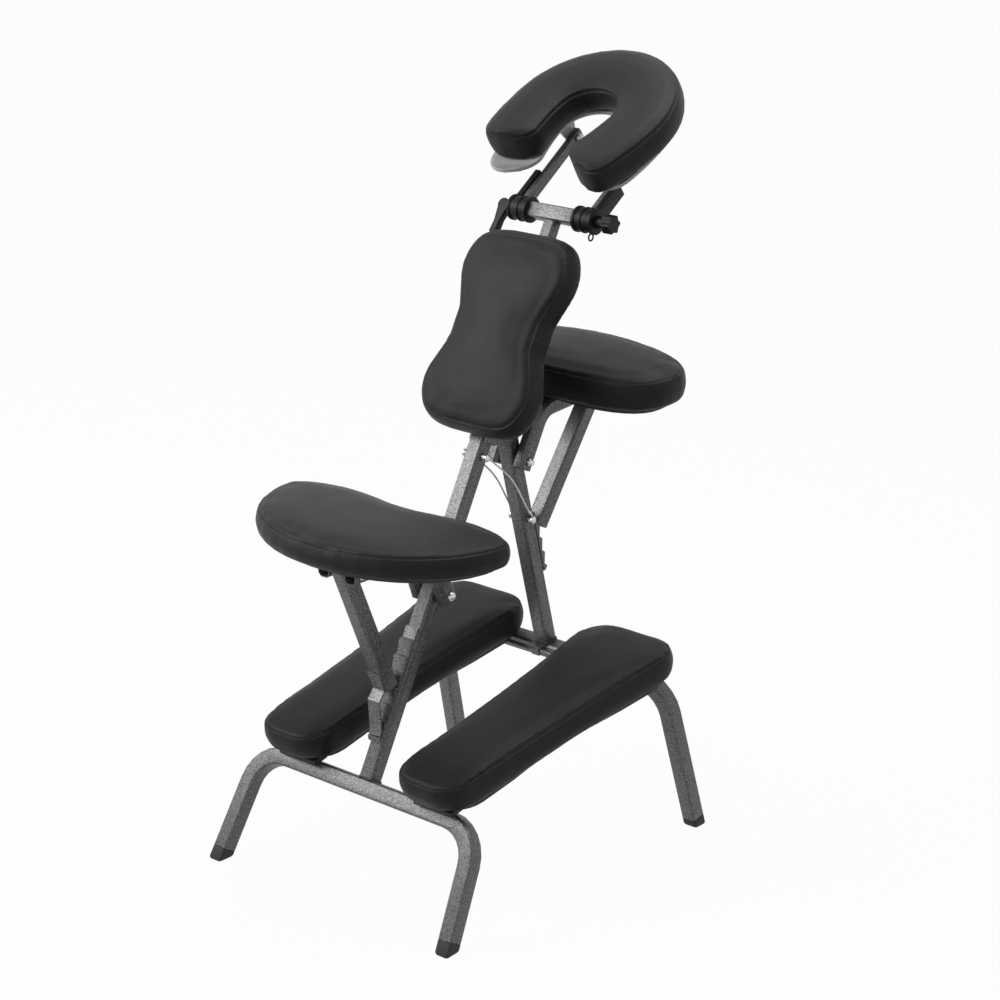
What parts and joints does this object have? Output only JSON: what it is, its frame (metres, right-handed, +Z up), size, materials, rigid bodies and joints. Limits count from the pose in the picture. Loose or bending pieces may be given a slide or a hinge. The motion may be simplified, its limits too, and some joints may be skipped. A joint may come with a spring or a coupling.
{
  "type": "kneeling massage chair",
  "caption": "Folding kneeling massage chair: square-tube A-frame with padded seat, shin pads, chest rest, armrest and a tilting horseshoe face cradle",
  "frame": {"origin": "centre of the bounding box on the floor", "axes": "+Z up, +Y the way the sitter faces, +X to the sitter's right"},
  "size_m": [0.564, 0.8017, 1.2668],
  "materials": {
    "hammertone_coat": "silver-grey hammertone powder coat",
    "black_vinyl": "soft black upholstery vinyl over foam",
    "plywood": "raw plywood",
    "zinc_steel": "bright zinc plate",
    "black_plastic": "satin moulded nylon",
    "grey_plastic": "smoke-grey translucent moulding",
    "black_rubber": "matt moulded rubber",
    "wire_rope": "bare stranded steel"
  },
  "bodies": {
    "rear_frame": {"rear_leg_bow": "hammertone_coat", "rear_foot_left": "black_rubber", "rear_foot_right": "black_rubber", "spine_tube": "hammertone_coat", "seat_rack": "hammertone_coat", "main_hinge_bolt": "zinc_steel", "spine_cable_bolt": "zinc_steel", "spine_collar": "black_plastic", "stay_cable_left": "wire_rope", "stay_cable_right": "wire_rope"},
    "front_frame": {"front_leg_bow": "hammertone_coat", "front_foot_left": "black_rubber", "front_foot_right": "black_rubber", "front_post": "hammertone_coat", "post_cable_bolt": "zinc_steel", "knee_hinge_rod": "zinc_steel", "armrest_rack": "hammertone_coat"},
    "knee_pad_left": {"knee_cushion_left": "black_vinyl", "knee_board_left": "plywood", "knee_hinge_left": "zinc_steel", "knee_buffer_left": "black_rubber"},
    "knee_pad_right": {"knee_cushion_right": "black_vinyl", "knee_board_right": "plywood", "knee_hinge_right": "zinc_steel", "knee_buffer_right": "black_rubber"},
    "seat": {"seat_bearer_left": "hammertone_coat", "seat_bearer_right": "hammertone_coat", "seat_pivot_bolt": "zinc_steel", "seat_strut_bolt": "zinc_steel", "seat_board": "plywood", "seat_cushion": "black_vinyl"},
    "seat_prop": {"seat_strut": "hammertone_coat", "seat_strut_hook": "hammertone_coat"},
    "armrest": {"armrest_bearer_left": "hammertone_coat", "armrest_bearer_right": "hammertone_coat", "armrest_pivot_bolt": "zinc_steel", "armrest_strut_bolt": "zinc_steel", "armrest_board": "plywood", "armrest_cushion": "black_vinyl"},
    "armrest_prop": {"armrest_strut": "hammertone_coat"},
    "chest_rest": {"chest_sleeve": "hammertone_coat", "chest_board": "plywood", "chest_cushion": "black_vinyl"},
    "chest_clamp_knob": {"chest_knob": "black_plastic"},
    "collar_clamp_knob": {"collar_knob": "black_plastic"},
    "head_post": {"head_post_tube": "zinc_steel", "cradle_bar": "hammertone_coat", "cradle_axle": "zinc_steel"},
    "cradle_arms": {"cradle_clamp_left": "black_plastic", "cradle_clamp_right": "black_plastic", "cradle_arm_left": "hammertone_coat", "cradle_arm_right": "hammertone_coat"},
    "cam_lever": {"cam_lever": "black_plastic"},
    "star_knob": {"star_knob": "black_plastic"},
    "face_rest": {"face_cushion": "black_vinyl", "cradle_platform": "grey_plastic", "cradle_pivot_bolt_left": "zinc_steel", "cradle_pivot_bolt_right": "zinc_steel"}
  },
  "joints": [
    {"name": "leg_fold", "type": "hinge", "parent": "rear_frame", "child": "front_frame", "pos_m": [0, 0.06413, 0.68576], "axis": [1, 0, 0], "range_deg": [-38, 0], "deforming": ["stay_cable_left", "stay_cable_right"]},
    {"name": "knee_left_fold", "type": "hinge", "parent": "front_frame", "child": "knee_pad_left", "pos_m": [0, 0.14664, 0.27632], "axis": [1, 0, 0], "range_deg": [0, 23]},
    {"name": "knee_right_fold", "type": "hinge", "parent": "front_frame", "child": "knee_pad_right", "pos_m": [0, 0.14664, 0.27632], "axis": [1, 0, 0], "range_deg": [0, 23]},
    {"name": "seat_lift", "type": "hinge", "parent": "rear_frame", "child": "seat", "pos_m": [0, -0.11746, 0.46106], "axis": [-1, 0, 0], "range_deg": [0, 18]},
    {"name": "seat_strut_swing", "type": "hinge", "parent": "seat", "child": "seat_prop", "pos_m": [0, -0.32004, 0.55306], "axis": [-1, 0, 0], "range_deg": [0, 35]},
    {"name": "armrest_lift", "type": "hinge", "parent": "front_frame", "child": "armrest", "pos_m": [0, 0.07676, 0.63779], "axis": [1, 0, 0], "range_deg": [0, 7]},
    {"name": "armrest_strut_swing", "type": "hinge", "parent": "armrest", "child": "armrest_prop", "pos_m": [0, 0.30271, 0.72913], "axis": [1, 0, 0], "range_deg": [0, 30]},
    {"name": "chest_slide", "type": "slide", "parent": "rear_frame", "child": "chest_rest", "axis": [0, 0.4752, 0.8799], "range_m": [-0.045, 0.045]},
    {"name": "chest_knob_turn", "type": "hinge", "parent": "chest_rest", "child": "chest_clamp_knob", "pos_m": [0, 0.09925, 0.82591], "axis": [0, 0.8799, -0.4752], "range_deg": [-180, 180]},
    {"name": "head_post_slide", "type": "slide", "parent": "rear_frame", "child": "head_post", "axis": [0, 0.4752, 0.8799], "range_m": [0, 0.08]},
    {"name": "collar_knob_turn", "type": "hinge", "parent": "rear_frame", "child": "collar_clamp_knob", "pos_m": [0, 0.15588, 0.93772], "axis": [0, 0.8799, -0.4752], "range_deg": [-180, 180]},
    {"name": "cradle_arm_tilt", "type": "hinge", "parent": "head_post", "child": "cradle_arms", "pos_m": [0, 0.18619, 1.0233], "axis": [1, 0, 0], "range_deg": [-35, 20]},
    {"name": "cradle_tilt", "type": "hinge", "parent": "cradle_arms", "child": "face_rest", "pos_m": [0, 0.32421, 1.1203], "axis": [1, 0, 0], "range_deg": [-30, 6]},
    {"name": "cam_lever_flip", "type": "hinge", "parent": "head_post", "child": "cam_lever", "pos_m": [-0.1058, 0.18619, 1.0233], "axis": [0, 0.8799, -0.4752], "range_deg": [0, 95]},
    {"name": "star_knob_turn", "type": "hinge", "parent": "head_post", "child": "star_knob", "pos_m": [0.1048, 0.18619, 1.0233], "axis": [1, 0, 0], "range_deg": [-180, 180]}
  ],
  "couplings": [
    {"joint": "knee_left_fold", "follows": "leg_fold", "ratio": -0.6},
    {"joint": "knee_right_fold", "follows": "leg_fold", "ratio": -0.6}
  ]
}
